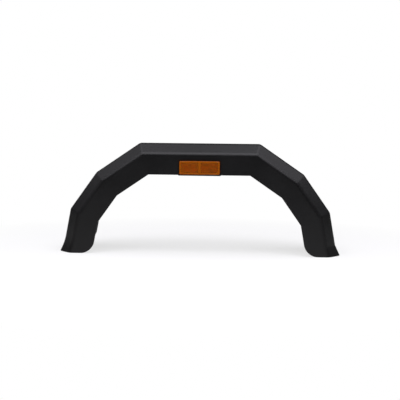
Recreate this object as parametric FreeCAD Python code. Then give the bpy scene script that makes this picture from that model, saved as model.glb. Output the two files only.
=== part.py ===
import FreeCAD, Part
import math
import os
from FreeCAD import Vector

# Trailer mudguard: a one-piece moulded plastic shell that runs over a wheel as half an octagon,
# with an amber side reflector stuck to its front skirt.
# Millimetres. X runs along the trailer, the skirt faces -Y, Z is up.
# The origin is the bottom centre of the whole part's bounding box.

# Side outline of the shell, outside surfaces
height = 296.3
top_length = 320.5
shoulder_length = 142.5
shoulder_angle = 34.3
haunch_length = 122.0
haunch_angle = 54.7
leg_angle = 79.6

# Flared feet: how far the tip stands outside the leg's own line, and where and how softly it bends out
flare_throw = 7.8
left_flare_height = 22.0
left_flare_radius = 140.0
right_flare_height = 29.3
right_flare_radius = 12.0
sole_radius = 600.0
sole_setback = 49.5

# Section through the shell
shell_depth = 200.0
wall = 3.0
bevel = 28.0
edge_radius = 16.0
skirt_width = 83.8
skirt_corner_radius = 38.0
lip_radius = 0.9
flange_width = 55.0
flange_foot_height = 8.0

# Fixing holes in the back flange
hole_diameter = 9.0
hole_inset = 31.0
top_hole_spacing = 250.0
leg_hole_height = 62.0
leg_slot_length = 18.0

# Reflector: adhesive pad, backing plate and lens, stacked on the skirt
reflector_length = 113.0
reflector_height = 41.5
reflector_shift = 1.0
reflector_overhang = 1.6
reflector_corner = 2.5
pad_thickness = 0.8
pad_margin = 3.0
backing_thickness = 1.7
lens_margin = 3.0
lens_thickness = 5.5
lens_draft = 6.0
lens_edge_radius = 1.0
lens_window = 2.2
lens_border = 4.2
lens_bar = 5.0
field_corner = 1.2

# Lengths that only have to reach past the material they cut
below_floor = 100.0
past = 5.0

reflector_thickness = pad_thickness + backing_thickness + lens_thickness
front_y = (reflector_thickness - shell_depth) / 2
back_y = front_y + shell_depth
tip_height = sole_radius - math.sqrt(sole_radius ** 2 - sole_setback ** 2)


def along(point, distance, angle):
    """The point a distance away, going outwards and down at an angle to the horizontal."""
    turn = math.radians(angle)
    return (point[0] + distance * math.cos(turn), point[1] - distance * math.sin(turn))


def leg_x(z):
    """Where the outside of the right leg is at a height."""
    haunch_x, haunch_z = along(along((top_length / 2, height), shoulder_length, shoulder_angle),
                               haunch_length, haunch_angle)
    return haunch_x + (haunch_z - z) / math.tan(math.radians(leg_angle))


def half_outline(flare_height):
    """Corners of the right half, from the top panel down to a point well below the floor."""
    shoulder = (top_length / 2, height)
    haunch = along(shoulder, shoulder_length, shoulder_angle)
    knee = along(haunch, haunch_length, haunch_angle)
    bend = (leg_x(flare_height), flare_height)
    slope = (leg_x(tip_height) + flare_throw - bend[0]) / (flare_height - tip_height)
    end = (bend[0] + slope * (flare_height + below_floor), -below_floor)
    return [shoulder, haunch, knee, bend, end]


def full_outline():
    """Corners of the whole outline from the left foot over the top to the right foot."""
    left = [(-x, z) for x, z in half_outline(left_flare_height)]
    return left[::-1] + half_outline(right_flare_height)


def inset(points, distance):
    """The same open outline moved inwards, mitred at its corners and ending at the same heights."""
    lines = []
    for (x0, z0), (x1, z1) in zip(points, points[1:]):
        run = math.hypot(x1 - x0, z1 - z0)
        ux, uz = (x1 - x0) / run, (z1 - z0) / run
        lines.append(((x0 + uz * distance, z0 - ux * distance), (ux, uz)))

    def at_height(line, z):
        (px, pz), (ux, uz) = line
        return (px + ux * (z - pz) / uz, z)

    corners = []
    for ((px, pz), (ux, uz)), ((qx, qz), (vx, vz)) in zip(lines, lines[1:]):
        reach = ((qx - px) * vz - (qz - pz) * vx) / (ux * vz - uz * vx)
        corners.append((px + ux * reach, pz + uz * reach))
    return [at_height(lines[0], points[0][1])] + corners + [at_height(lines[-1], points[-1][1])]


def rounded_loop(corners, radii, y):
    """A closed wire in the plane y, with an arc of its own radius at each corner that has one."""
    points = [Vector(x, y, z) for x, z in corners]
    starts, ends, arcs = [], [], []
    for i, point in enumerate(points):
        if not radii[i]:
            starts.append(point)
            ends.append(point)
            arcs.append(None)
            continue
        before = (points[i - 1] - point).normalize()
        after = (points[(i + 1) % len(points)] - point).normalize()
        middle = (before + after).normalize()
        half_angle = before.getAngle(after) / 2
        starts.append(point + before * (radii[i] / math.tan(half_angle)))
        ends.append(point + after * (radii[i] / math.tan(half_angle)))
        top = point + middle * (radii[i] / math.sin(half_angle) - radii[i])
        arcs.append(Part.Arc(starts[i], top, ends[i]).toShape())
    edges = []
    for i, arc in enumerate(arcs):
        if arc:
            edges.append(arc)
        edges.append(Part.LineSegment(ends[i], starts[(i + 1) % len(points)]).toShape())
    return Part.Wire(edges)


def slab(wire, thickness):
    """A flat closed wire made solid towards +Y."""
    return Part.Face(wire).extrude(Vector(0, thickness, 0))


def outline_loop(distance, y):
    """The shell's outline a distance inside its outside surface, closed below the floor."""
    corners = inset(full_outline(), distance)
    radii = [0.0] * len(corners)
    radii[1] = left_flare_radius + distance
    radii[-2] = right_flare_radius + distance
    return rounded_loop(corners, radii, y)


def sharp_core():
    """The bevelled block that lies one edge radius inside the shell's outside surface."""
    core_front = front_y + edge_radius
    block = slab(outline_loop(edge_radius, core_front), shell_depth - 2 * edge_radius)
    rim = [edge for edge in block.Edges
           if edge.BoundBox.YMax < core_front + past / 2 and edge.BoundBox.ZMax > 0]
    return block.makeChamfer(bevel - (2 - math.sqrt(2)) * edge_radius, rim)


def swollen(core, distance):
    """The core grown by a ball, so that each of its edges and corners is rounded."""
    tolerance = 0.001
    arc_joins = 0
    return core.makeOffsetShape(distance, tolerance, False, False, 0, arc_joins, False)


def wheel_opening(width, foot_height, y, thickness):
    """The arch that the wheel is seen through, with its rounded lower corners."""
    corners = inset(full_outline(), width)[2:-2]
    slope = 1 / math.tan(math.radians(leg_angle))
    knee_x, knee_z = corners[-1]
    foot_x = knee_x + (knee_z - foot_height) * slope
    side_x = leg_x(0) + flare_throw + past
    right = [(foot_x, foot_height), (side_x, foot_height), (side_x, -below_floor)]
    left = [(-x, z) for x, z in right[::-1]]
    loop = left + corners + right
    radii = [0.0] * len(loop)
    radii[2] = skirt_corner_radius
    radii[-3] = skirt_corner_radius
    return slab(rounded_loop(loop, radii, y), thickness)


def above_soles():
    """The space above the feet's soles, which are gentle arcs with their low points on the floor."""
    low_x = leg_x(tip_height) + flare_throw - sole_setback
    reach = 2 * sole_setback
    rise = sole_radius - math.sqrt(sole_radius ** 2 - reach ** 2)
    ceiling = height + past
    y = front_y - past

    def sole(side):
        start = Vector(side * (low_x + reach), y, rise)
        end = Vector(side * (low_x - reach), y, rise)
        return start, end, Part.Arc(start, Vector(side * low_x, y, 0), end).toShape()

    right_out, right_in, right_arc = sole(1)
    left_out, left_in, left_arc = sole(-1)
    right_top = Vector(right_out.x, y, ceiling)
    left_top = Vector(left_out.x, y, ceiling)
    edges = [
        right_arc,
        Part.LineSegment(right_in, left_in).toShape(),
        left_arc,
        Part.LineSegment(left_out, left_top).toShape(),
        Part.LineSegment(left_top, right_top).toShape(),
        Part.LineSegment(right_top, right_out).toShape(),
    ]
    return slab(Part.Wire(edges), shell_depth + 2 * past)


def slot(centre_x, centre_z, y, depth):
    """A cutter for a slot that runs along X, with round ends."""
    radius = hole_diameter / 2
    half_run = leg_slot_length / 2 - radius

    def at(dx, dz):
        return Vector(centre_x + dx, y, centre_z + dz)

    edges = [
        Part.LineSegment(at(-half_run, radius), at(half_run, radius)).toShape(),
        Part.Arc(at(half_run, radius), at(half_run + radius, 0), at(half_run, -radius)).toShape(),
        Part.LineSegment(at(half_run, -radius), at(-half_run, -radius)).toShape(),
        Part.Arc(at(-half_run, -radius), at(-half_run - radius, 0), at(-half_run, radius)).toShape(),
    ]
    return slab(Part.Wire(edges), depth)


def fixing_holes():
    """Round holes in the top of the flange and sideways slots in its legs, on one line inside the edge."""
    start = back_y - wall - past
    depth = wall + 2 * past
    leg_hole_x = leg_x(leg_hole_height) - hole_inset / math.sin(math.radians(leg_angle))
    cutters = []
    for side in (-1, 1):
        centre = Vector(side * top_hole_spacing / 2, start, height - hole_inset)
        cutters.append(Part.makeCylinder(hole_diameter / 2, depth, centre, Vector(0, 1, 0)))
        cutters.append(slot(side * leg_hole_x, leg_hole_height, start, depth))
    return cutters


def soften_lip(shell, opening, face_y):
    """Takes the sharpness off the free lip round an opening, on the shell's outer face at a given y."""
    lip = []
    for edge in shell.Edges:
        box = edge.BoundBox
        flat = max(abs(box.YMin - face_y), abs(box.YMax - face_y)) < lip_radius / 10
        middle = Part.Vertex(edge.valueAt((edge.FirstParameter + edge.LastParameter) / 2))
        if flat and middle.distToShape(opening.Shells[0])[0] < lip_radius / 100:
            lip.append(edge)
    return shell.makeFillet(lip_radius, lip)


def mudguard_shell():
    core = sharp_core()
    outside = swollen(core, edge_radius)
    inside = swollen(core, edge_radius - wall)
    front_cut = wheel_opening(skirt_width, 0.0, front_y - past, wall + 2 * past)
    back_cut = wheel_opening(flange_width, flange_foot_height, back_y - edge_radius, edge_radius + past)
    room = slab(outline_loop(wall, front_y), shell_depth + past)
    shell = outside.cut([inside, front_cut, back_cut.common(room)])
    shell = shell.common(above_soles())
    shell = soften_lip(shell, front_cut, front_y)
    shell = soften_lip(shell, back_cut, back_y)
    return shell.cut(fixing_holes())


def tile(length, tall, thickness, front, corner):
    """A plate on the reflector's centre with rounded corners and its front face at a given y."""
    centre_z = height - skirt_width - reflector_overhang + reflector_height / 2
    x0 = reflector_shift - length / 2
    x1 = x0 + length
    z0 = centre_z - tall / 2
    z1 = z0 + tall
    loop = [(x0, z1), (x1, z1), (x1, z0), (x0, z0)]
    return slab(rounded_loop(loop, [corner] * 4, front), thickness)


def reflector_pad():
    front = front_y - pad_thickness
    return tile(reflector_length - 2 * pad_margin, reflector_height - 2 * pad_margin,
                pad_thickness, front, reflector_corner)


def reflector_backing():
    front = front_y - pad_thickness - backing_thickness
    return tile(reflector_length, reflector_height, backing_thickness, front, reflector_corner)


def reflector_lens():
    """A moulded cap with drafted sides, hollow behind each of its two prism fields."""
    back = front_y - pad_thickness - backing_thickness
    front = back - lens_thickness
    length = reflector_length - 2 * lens_margin
    tall = reflector_height - 2 * lens_margin
    lean = lens_thickness * math.tan(math.radians(lens_draft))
    centre_z = height - skirt_width - reflector_overhang + reflector_height / 2

    def loop(shrink, y):
        x0 = reflector_shift - length / 2 + shrink
        x1 = reflector_shift + length / 2 - shrink
        z0 = centre_z - tall / 2 + shrink
        z1 = centre_z + tall / 2 - shrink
        return rounded_loop([(x0, z1), (x1, z1), (x1, z0), (x0, z0)], [reflector_corner] * 4, y)

    cap = Part.makeLoft([loop(lean, front), loop(0.0, back)], True, True)
    rim = [edge for edge in cap.Edges if edge.BoundBox.YMax < front + lens_edge_radius / 2]
    cap = cap.makeFillet(lens_edge_radius, rim)
    field_length = (length - lens_bar) / 2 - lens_border
    field_tall = tall - 2 * lens_border
    fields = []
    for side in (-1, 1):
        middle = reflector_shift + side * (lens_bar + field_length) / 2
        x0 = middle - field_length / 2
        x1 = middle + field_length / 2
        z0 = centre_z - field_tall / 2
        z1 = centre_z + field_tall / 2
        outline = rounded_loop([(x0, z1), (x1, z1), (x1, z0), (x0, z0)], [field_corner] * 4, front + lens_window)
        fields.append(slab(outline, lens_thickness))
    return cap.cut(fields)


def main():
    os.makedirs("parts", exist_ok=True)
    pieces = {
        "mudguard_shell": mudguard_shell(),
        "reflector_pad": reflector_pad(),
        "reflector_backing": reflector_backing(),
        "reflector_lens": reflector_lens(),
    }
    for name, shape in pieces.items():
        solid = shape.Solids[0] if len(shape.Solids) == 1 else shape
        solid.exportStep(f"parts/{name}.step")
        box = solid.optimalBoundingBox()
        print(name, len(shape.Solids), "solids", round(shape.Volume), "mm3, valid", shape.isValid(),
              "x", round(box.XMin, 2), round(box.XMax, 2), "y", round(box.YMin, 2), round(box.YMax, 2),
              "z", round(box.ZMin, 3), round(box.ZMax, 2))


main()
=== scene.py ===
"""Looks of the trailer mudguard: black moulded plastic shell and amber stick-on reflector."""
import math

import bmesh
import bpy
from mathutils import Matrix, Vector


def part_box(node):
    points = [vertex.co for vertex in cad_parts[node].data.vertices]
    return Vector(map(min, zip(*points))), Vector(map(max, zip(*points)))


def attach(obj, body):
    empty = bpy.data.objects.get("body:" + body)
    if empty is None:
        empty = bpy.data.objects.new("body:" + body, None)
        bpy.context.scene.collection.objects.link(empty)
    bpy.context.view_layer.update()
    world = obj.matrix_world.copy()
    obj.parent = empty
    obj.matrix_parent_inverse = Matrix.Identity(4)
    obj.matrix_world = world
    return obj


# The photograph's camera, fitted to the edges of the guard's outline
PHOTO_SIDE = 400
SENSOR = 36.0
CAMERA_DISTANCE = 2.0
CAMERA_YAW = math.radians(2.62)
CAMERA_RISE = math.radians(4.2)
CAMERA_ROLL = math.radians(0.67)
METRES_PER_PIXEL = 0.00264
AIM_HEIGHT = 0.150
AIM_PIXELS_RIGHT = 1.15
AIM_PIXELS_DOWN = 1.10

# Studio: a round white floor that fades into the white room, and softboxes above and around.
# The lift is how far the floor is plain white already where the guard stands.
FLOOR_RADIUS = 1.5
FLOOR_RIM_POINTS = 96
FLOOR_WHITE = 0.86
FLOOR_BOUNCE = 0.60
FLOOR_LIFT = 0.70
FLOOR_FADE_FROM = 0.55
FLOOR_FADE_TO = 0.95
ROOM_LIGHT = 0.08
LAMP_AIM = (0, 0, 0.15)
LAMP_DISTANCE = 2.2
SOFTBOX_TINT = (1.0, 0.985, 1.05)

# Each softbox: degrees to the right of the front, degrees up, width, height and brightness
SOFTBOXES = {
    "overhead": (0, 90, 2.2, 1.4, 1.05),
    "front_high": (0, 55, 3.0, 1.4, 3.8),
    "right_high": (90, 54, 1.6, 2.1, 1.4),
    "left_high": (-90, 50, 1.6, 2.1, 0.92),
    "front_right": (48, 31, 1.0, 0.9, 0.55),
    "front_left": (-48, 31, 1.1, 0.9, 1.0),
    "right_low": (92, 12, 0.8, 0.6, 0.20),
    "left_low": (-92, 12, 0.8, 0.6, 0.10),
}

# The shell's plastic: two blacks that cloud into each other, its gloss and its moulded grain
BLACK = (0.0022, 0.0021, 0.0024, 1)
BLACK_PALE = (0.0034, 0.0033, 0.0037, 1)
CLOUD_SCALE = 9.0
CLOUD_DETAIL = 3.0
SHELL_SPECULAR = 0.29
SHELL_SMOOTHEST = 0.32
SHELL_ROUGHEST = 0.38
GRAIN_SCALE = 1150.0
GRAIN_DETAIL = 2.0
GRAIN_BREAK_UP = 0.6
GRAIN_STRENGTH = 0.22
GRAIN_HEIGHT = 0.00025
FINE_GRAIN_SCALE = 3600.0
FINE_GRAIN_DETAIL = 1.0
FINE_GRAIN_STRENGTH = 0.12
FINE_GRAIN_HEIGHT = 0.0001

# The lens's amber acrylic: how much light passes where it is clear and where it is cloudy
AMBER_CLEAR = (0.62, 0.23, 0.006, 1)
AMBER_CLOUDY = (0.34, 0.080, 0.002, 1)
PASSES_CLEAR = 0.85
PASSES_CLOUDY = 0.10
ACRYLIC_IOR = 1.49
LENS_SPECULAR = 0.3
LENS_ROUGHNESS = 0.10
RIPPLE_SCALE = 180.0
RIPPLE_DETAIL = 1.0
RIPPLE_STRENGTH = 0.05
RIPPLE_HEIGHT = 0.0004

# Where the lens's clear windows are, and the prisms behind them
LENS_BORDER = 0.0042
LENS_BAR = 0.005
LENS_WINDOW = 0.0022
MASK_SOFTNESS = 0.0005
PRISM_PITCH = 0.0021
PRISM_WINDOW_GAP = 0.0001
PRISM_EDGE_GAP = 0.0004
CUT_REACH = 1e-7
PRISM_AMBER = (0.68, 0.25, 0.017, 1)
PRISM_AMBER_BRIGHT = (0.85, 0.33, 0.026, 1)
PRISM_ROUGHNESS = 0.20
PRISM_METALLIC = 0.6
MOTTLE_SCALE = 260.0
MOTTLE_DETAIL = 2.0

# The reflector's plate, coloured darker than its plastic as painted shade of its recess between lens
# and skirt, tinted brown as painted amber light from the lens's edges
PLATE_PAINTED_SHADE = (0.0075, 0.0028, 0.0010, 1)
PLATE_PAINTED_SHADE_PALE = (0.0110, 0.0045, 0.0020, 1)
PLATE_SPECULAR = 0.14
PLATE_SMOOTHEST = 0.42
PLATE_ROUGHEST = 0.52
PLATE_GRAIN_SCALE = 900.0
PLATE_GRAIN_DETAIL = 2.0
PLATE_GRAIN_STRENGTH = 0.15
PLATE_GRAIN_HEIGHT = 0.0002

# The foam pad: a cell is darkened with painted shade as far as its floor goes, and keeps the foam's
# pale colour from its rim on
FOAM_PAINTED_SHADE = (0.012, 0.012, 0.012, 1)
FOAM_PALE = (0.045, 0.045, 0.046, 1)
FOAM_SPECULAR = 0.2
FOAM_ROUGHNESS = 0.85
CELL_SCALE = 2600.0
CELL_FLOOR = 0.1
CELL_RIM = 0.6
CELL_STRENGTH = 0.6
CELL_DEPTH = 0.0002


def new_material(name):
    """A material with an empty node tree."""
    material = bpy.data.materials.new(name)
    material.use_nodes = True
    tree = material.node_tree
    tree.nodes.clear()
    return material, tree


def node(tree, kind, **inputs):
    """A new shader node with some of its sockets set by name."""
    made = tree.nodes.new(kind)
    for name, value in inputs.items():
        made.inputs[name.replace("_", " ")].default_value = value
    return made


def sums(tree, operation, first, second=0.0):
    """The result of a math node on two sockets or plain numbers."""
    made = tree.nodes.new("ShaderNodeMath")
    made.operation = operation
    for place, value in enumerate((first, second)):
        if isinstance(value, (int, float)):
            made.inputs[place].default_value = value
        else:
            tree.links.new(value, made.inputs[place])
    return made.outputs["Value"]


def object_place(tree):
    """The place on the object, in metres."""
    return tree.nodes.new("ShaderNodeTexCoord").outputs["Object"]


def noise(tree, place, scale, detail, roughness=0.5):
    """Soft noise between 0 and 1, with so many blots to the metre."""
    made = node(tree, "ShaderNodeTexNoise", Scale=scale, Detail=detail, Roughness=roughness)
    tree.links.new(place, made.inputs["Vector"])
    return made.outputs["Fac"]


def spread(tree, source, low, high, start=0.35, end=0.65):
    """A number that goes from low to high as the source goes from start to end."""
    made = node(tree, "ShaderNodeMapRange", From_Min=start, From_Max=end, To_Min=low, To_Max=high)
    tree.links.new(source, made.inputs["Value"])
    return made.outputs["Result"]


def blend_colours(tree, factor, first, second):
    """The first colour where the factor is 0 and the second where it is 1."""
    made = node(tree, "ShaderNodeMixRGB", Color1=first, Color2=second)
    tree.links.new(factor, made.inputs["Fac"])
    return made.outputs["Color"]


def bump(tree, height, strength, distance, under=None):
    """The surface's normal, roughened by a height, over an earlier bump if there is one."""
    made = node(tree, "ShaderNodeBump", Strength=strength, Distance=distance)
    tree.links.new(height, made.inputs["Height"])
    if under:
        tree.links.new(under, made.inputs["Normal"])
    return made.outputs["Normal"]


def finish_material(tree, surface):
    """Joins a surface to the material's output."""
    output = tree.nodes.new("ShaderNodeOutputMaterial")
    tree.links.new(surface, output.inputs["Surface"])


def shell_plastic():
    """Black polypropylene with a fine moulded grain, a little cloudier in places."""
    material, tree = new_material("shell_plastic")
    place = object_place(tree)
    surface = node(tree, "ShaderNodeBsdfPrincipled", Specular_IOR_Level=SHELL_SPECULAR)
    clouds = noise(tree, place, CLOUD_SCALE, CLOUD_DETAIL)
    colour = blend_colours(tree, spread(tree, clouds, 0.0, 1.0), BLACK, BLACK_PALE)
    tree.links.new(colour, surface.inputs["Base Color"])
    tree.links.new(spread(tree, clouds, SHELL_SMOOTHEST, SHELL_ROUGHEST), surface.inputs["Roughness"])
    grain = noise(tree, place, GRAIN_SCALE, GRAIN_DETAIL, GRAIN_BREAK_UP)
    fine_grain = noise(tree, place, FINE_GRAIN_SCALE, FINE_GRAIN_DETAIL)
    normal = bump(tree, spread(tree, grain, 0.0, 1.0), GRAIN_STRENGTH, GRAIN_HEIGHT)
    normal = bump(tree, fine_grain, FINE_GRAIN_STRENGTH, FINE_GRAIN_HEIGHT, normal)
    tree.links.new(normal, surface.inputs["Normal"])
    finish_material(tree, surface.outputs["BSDF"])
    return material


def lens_field_mask(tree):
    """1 over the lens's two clear windows, 0 over its solid border and middle bar."""
    low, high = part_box("reflector_lens")
    middle = (low + high) / 2
    field_tall = high.z - low.z - 2 * LENS_BORDER
    field_end = (high.x - low.x) / 2 - LENS_BORDER
    parts = tree.nodes.new("ShaderNodeSeparateXYZ")
    tree.links.new(object_place(tree), parts.inputs["Vector"])
    across = sums(tree, "ABSOLUTE", sums(tree, "SUBTRACT", parts.outputs["X"], middle.x))
    up = sums(tree, "ABSOLUTE", sums(tree, "SUBTRACT", parts.outputs["Z"], middle.z))
    past_bar = sums(tree, "SUBTRACT", across, LENS_BAR / 2)
    before_end = sums(tree, "SUBTRACT", field_end, across)
    before_edge = sums(tree, "SUBTRACT", field_tall / 2, up)
    inside = sums(tree, "MINIMUM", sums(tree, "MINIMUM", past_bar, before_end), before_edge)
    return spread(tree, inside, 0.0, 1.0, 0.0, MASK_SOFTNESS)


def lens_amber():
    """Clear amber acrylic over the prisms, cloudier where it is thick and welded down."""
    material, tree = new_material("lens_amber")
    mask = lens_field_mask(tree)
    surface = node(tree, "ShaderNodeBsdfPrincipled", Roughness=LENS_ROUGHNESS, IOR=ACRYLIC_IOR,
                   Specular_IOR_Level=LENS_SPECULAR)
    colour = blend_colours(tree, mask, AMBER_CLOUDY, AMBER_CLEAR)
    tree.links.new(colour, surface.inputs["Base Color"])
    passes = spread(tree, mask, PASSES_CLOUDY, PASSES_CLEAR, 0.0, 1.0)
    tree.links.new(passes, surface.inputs["Transmission Weight"])
    ripple = noise(tree, object_place(tree), RIPPLE_SCALE, RIPPLE_DETAIL)
    tree.links.new(bump(tree, ripple, RIPPLE_STRENGTH, RIPPLE_HEIGHT), surface.inputs["Normal"])
    finish_material(tree, surface.outputs["BSDF"])
    return material


def prism_amber():
    """The prisms' facets, seen through the window as bright amber steps."""
    material, tree = new_material("prism_amber")
    surface = node(tree, "ShaderNodeBsdfPrincipled", Roughness=PRISM_ROUGHNESS,
                   Metallic=PRISM_METALLIC)
    mottle = noise(tree, object_place(tree), MOTTLE_SCALE, MOTTLE_DETAIL)
    colour = blend_colours(tree, spread(tree, mottle, 0.0, 1.0), PRISM_AMBER, PRISM_AMBER_BRIGHT)
    tree.links.new(colour, surface.inputs["Base Color"])
    finish_material(tree, surface.outputs["BSDF"])
    return material


def backing_plastic():
    """The reflector's plate, in a dark brown that is painted shade of its recess and painted amber
    light from the lens; its grain is its own.
    """
    material, tree = new_material("backing_plastic")
    surface = node(tree, "ShaderNodeBsdfPrincipled", Specular_IOR_Level=PLATE_SPECULAR)
    grain = noise(tree, object_place(tree), PLATE_GRAIN_SCALE, PLATE_GRAIN_DETAIL)
    # Both browns are painted shade of the recess, tinted by painted amber light from the lens; the
    # grain blends them
    colour = blend_colours(tree, spread(tree, grain, 0.0, 1.0), PLATE_PAINTED_SHADE, PLATE_PAINTED_SHADE_PALE)
    tree.links.new(colour, surface.inputs["Base Color"])
    tree.links.new(spread(tree, grain, PLATE_SMOOTHEST, PLATE_ROUGHEST), surface.inputs["Roughness"])
    normal = bump(tree, grain, PLATE_GRAIN_STRENGTH, PLATE_GRAIN_HEIGHT)
    tree.links.new(normal, surface.inputs["Normal"])
    finish_material(tree, surface.outputs["BSDF"])
    return material


def pad_foam():
    """Closed-cell foam tape, with its cells open at the cut edge and painted shade in their floors."""
    material, tree = new_material("pad_foam")
    surface = node(tree, "ShaderNodeBsdfPrincipled", Roughness=FOAM_ROUGHNESS,
                   Specular_IOR_Level=FOAM_SPECULAR)
    cells = node(tree, "ShaderNodeTexVoronoi", Scale=CELL_SCALE)
    tree.links.new(object_place(tree), cells.inputs["Vector"])
    rise = spread(tree, cells.outputs["Distance"], 0.0, 1.0, CELL_FLOOR, CELL_RIM)
    # The cell floors get painted shade; the rims keep the foam's own pale colour
    colour = blend_colours(tree, rise, FOAM_PAINTED_SHADE, FOAM_PALE)
    tree.links.new(colour, surface.inputs["Base Color"])
    tree.links.new(bump(tree, rise, CELL_STRENGTH, CELL_DEPTH), surface.inputs["Normal"])
    finish_material(tree, surface.outputs["BSDF"])
    return material


def paint(name, material):
    """Gives a carried-over CAD node its own material."""
    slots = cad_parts[name].data.materials
    slots.clear()
    slots.append(material)


def prism_sheet(name, low, high, turned):
    """A plate of corner-cube pits, facing -Y, that fills the box between two corners."""
    spacing = PRISM_PITCH / math.sqrt(3)
    step = spacing / math.sqrt(2)
    middle = (low + high) / 2
    side = -1 if turned else 1
    columns = int((high.x - low.x) / spacing) + 2
    rows = int((high.z - low.z) / spacing) + 2
    mesh = bmesh.new()
    # Neighbours in a grid of triangles take turns at three depths, which makes each triangle
    # half the face of a cube
    corners = {}
    for row in range(-rows, rows + 1):
        for column in range(-columns, columns + 1):
            x = (column + row / 2) * spacing
            z = row * spacing * math.sqrt(3) / 2
            if abs(x) > high.x - low.x or abs(z) > high.z - low.z:
                continue
            depth = (2 - (column - row) % 3) * step
            place = (middle.x + side * x, low.y + depth, middle.z + side * z)
            corners[column, row] = mesh.verts.new(place)

    for column, row in corners:
        for turn in (((1, 0), (0, 1)), ((1, -1), (1, 0))):
            others = [corners.get((column + right, row + up)) for right, up in turn]
            if all(others):
                mesh.faces.new([corners[column, row]] + others)

    # The grid is cut to the box, and its rim is drawn back to the box's far side and closed
    for place, outwards in ((low, (-1, 0, 0)), (low, (0, 0, -1)), (high, (1, 0, 0)), (high, (0, 0, 1))):
        everything = mesh.verts[:] + mesh.edges[:] + mesh.faces[:]
        bmesh.ops.bisect_plane(mesh, geom=everything, dist=CUT_REACH, plane_co=place,
                               plane_no=outwards, clear_outer=True)
    rim = [edge for edge in mesh.edges if edge.is_boundary]
    walls = bmesh.ops.extrude_edge_only(mesh, edges=rim)["geom"]
    for part in walls:
        if isinstance(part, bmesh.types.BMVert):
            part.co.y = high.y
    bmesh.ops.holes_fill(mesh, edges=[edge for edge in mesh.edges if edge.is_boundary])
    bmesh.ops.recalc_face_normals(mesh, faces=mesh.faces)

    data = bpy.data.meshes.new(name)
    mesh.to_mesh(data)
    mesh.free()
    piece = bpy.data.objects.new(name, data)
    bpy.context.scene.collection.objects.link(piece)
    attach(piece, "root")
    return piece


def prism_sheets():
    """One plate of prisms behind each window, standing on the backing plate."""
    low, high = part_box("reflector_lens")
    middle = (low.x + high.x) / 2
    material = prism_amber()
    near = low.y + LENS_WINDOW + PRISM_WINDOW_GAP
    edge = LENS_BORDER + PRISM_EDGE_GAP
    bar = LENS_BAR / 2 + PRISM_EDGE_GAP
    spans = {"left": (low.x + edge, middle - bar), "right": (middle + bar, high.x - edge)}
    for side, (start, end) in spans.items():
        piece = prism_sheet(f"prism_sheet_{side}", Vector((start, near, low.z + edge)),
                            Vector((end, high.y, high.z - edge)), side == "left")
        piece.data.materials.append(material)


def seen_by(tree, rays):
    """1 for the kinds of ray that are named, and 0 for every other kind."""
    path = tree.nodes.new("ShaderNodeLightPath")
    seen = 0.0
    for ray in rays:
        seen = sums(tree, "MAXIMUM", path.outputs[f"Is {ray} Ray"], seen)
    return seen


def floor():
    """A round white floor that turns to plain white away from the guard, in reflections too."""
    bpy.ops.mesh.primitive_circle_add(vertices=FLOOR_RIM_POINTS, radius=FLOOR_RADIUS, fill_type="NGON")
    ground = bpy.context.object
    ground.name = "floor"
    material, tree = new_material("floor_white")
    paper = node(tree, "ShaderNodeBsdfDiffuse", Color=(FLOOR_WHITE,) * 3 + (1,))
    dull = node(tree, "ShaderNodeBsdfDiffuse", Color=(FLOOR_BOUNCE,) * 3 + (1,))
    plain = node(tree, "ShaderNodeEmission", Strength=1.0)
    reach = tree.nodes.new("ShaderNodeVectorMath")
    reach.operation = "LENGTH"
    tree.links.new(object_place(tree), reach.inputs[0])
    fade = spread(tree, reach.outputs["Value"], FLOOR_LIFT, 1.0, FLOOR_FADE_FROM, FLOOR_FADE_TO)
    faded = tree.nodes.new("ShaderNodeMixShader")
    tree.links.new(fade, faded.inputs["Fac"])
    tree.links.new(paper.outputs["BSDF"], faded.inputs[1])
    tree.links.new(plain.outputs["Emission"], faded.inputs[2])
    seen = tree.nodes.new("ShaderNodeMixShader")
    tree.links.new(seen_by(tree, ("Camera", "Transmission", "Glossy")), seen.inputs["Fac"])
    tree.links.new(dull.outputs["BSDF"], seen.inputs[1])
    tree.links.new(faded.outputs["Shader"], seen.inputs[2])
    finish_material(tree, seen.outputs["Shader"])
    ground.data.materials.append(material)


def room():
    """A room that is white to the camera and through the lens, and dim in the plastic's shine."""
    world = bpy.data.worlds.new("studio")
    bpy.context.scene.world = world
    world.use_nodes = True
    tree = world.node_tree
    tree.nodes.clear()
    output = tree.nodes.new("ShaderNodeOutputWorld")
    white = node(tree, "ShaderNodeBackground", Color=(1, 1, 1, 1), Strength=1.0)
    dim = node(tree, "ShaderNodeBackground", Color=(1, 1, 1, 1), Strength=ROOM_LIGHT)
    mix = tree.nodes.new("ShaderNodeMixShader")
    tree.links.new(seen_by(tree, ("Camera", "Transmission")), mix.inputs["Fac"])
    tree.links.new(dim.outputs["Background"], mix.inputs[1])
    tree.links.new(white.outputs["Background"], mix.inputs[2])
    tree.links.new(mix.outputs["Shader"], output.inputs["Surface"])


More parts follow.
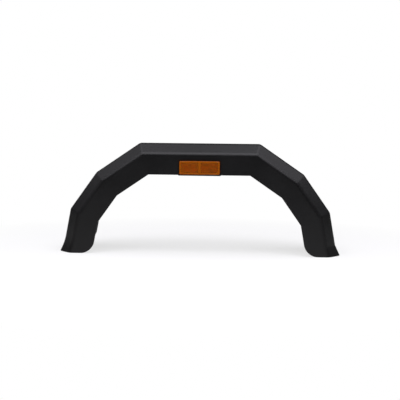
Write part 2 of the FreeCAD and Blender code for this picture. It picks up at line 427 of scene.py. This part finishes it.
def softbox(name, turn, rise, width, tall, glow):
    """A softbox of a given brightness, turned to the right of the front and raised by degrees."""
    turn = math.radians(turn)
    rise = math.radians(rise)
    away = Vector((math.sin(turn) * math.cos(rise), -math.cos(turn) * math.cos(rise), math.sin(rise)))
    data = bpy.data.lights.new(name, "AREA")
    data.shape = "RECTANGLE"
    data.size = width
    data.size_y = tall
    data.energy = math.pi * width * tall * glow
    data.color = SOFTBOX_TINT
    lamp = bpy.data.objects.new(name, data)
    lamp.location = Vector(LAMP_AIM) + away * LAMP_DISTANCE
    lamp.rotation_euler = away.to_track_quat("Z", "Y").to_euler()
    bpy.context.scene.collection.objects.link(lamp)


def photo_camera():
    """The camera at the photograph's place, looking at the skirt's plane."""
    face_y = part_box("mudguard_shell")[0].y
    back = Vector((math.sin(CAMERA_YAW) * math.cos(CAMERA_RISE),
                   -math.cos(CAMERA_YAW) * math.cos(CAMERA_RISE),
                   math.sin(CAMERA_RISE)))
    right = Vector((math.cos(CAMERA_YAW), math.sin(CAMERA_YAW), 0))
    up = back.cross(right)
    aim = Vector((0, face_y, AIM_HEIGHT))
    aim += right * (AIM_PIXELS_RIGHT * METRES_PER_PIXEL) - up * (AIM_PIXELS_DOWN * METRES_PER_PIXEL)
    data = bpy.data.cameras.new("camera")
    data.sensor_width = SENSOR
    data.lens = SENSOR * CAMERA_DISTANCE / (METRES_PER_PIXEL * PHOTO_SIDE)
    camera = bpy.data.objects.new("camera", data)
    axes = Matrix((right, up, back)).transposed().to_4x4()
    camera.matrix_world = (Matrix.Translation(aim + back * CAMERA_DISTANCE) @ axes
                           @ Matrix.Rotation(CAMERA_ROLL, 4, "Z"))
    bpy.context.scene.collection.objects.link(camera)
    bpy.context.scene.camera = camera


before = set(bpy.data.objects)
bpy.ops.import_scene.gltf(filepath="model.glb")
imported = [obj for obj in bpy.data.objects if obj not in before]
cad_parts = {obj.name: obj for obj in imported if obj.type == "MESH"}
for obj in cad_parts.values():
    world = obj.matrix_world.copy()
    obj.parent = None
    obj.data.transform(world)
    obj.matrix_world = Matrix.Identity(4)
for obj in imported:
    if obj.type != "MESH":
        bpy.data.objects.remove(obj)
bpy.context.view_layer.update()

paint("mudguard_shell", shell_plastic())
paint("reflector_lens", lens_amber())
paint("reflector_backing", backing_plastic())
paint("reflector_pad", pad_foam())
prism_sheets()

floor()
room()
for name, setting in SOFTBOXES.items():
    softbox(name, *setting)
photo_camera()

bpy.context.scene.view_settings.view_transform = "Standard"
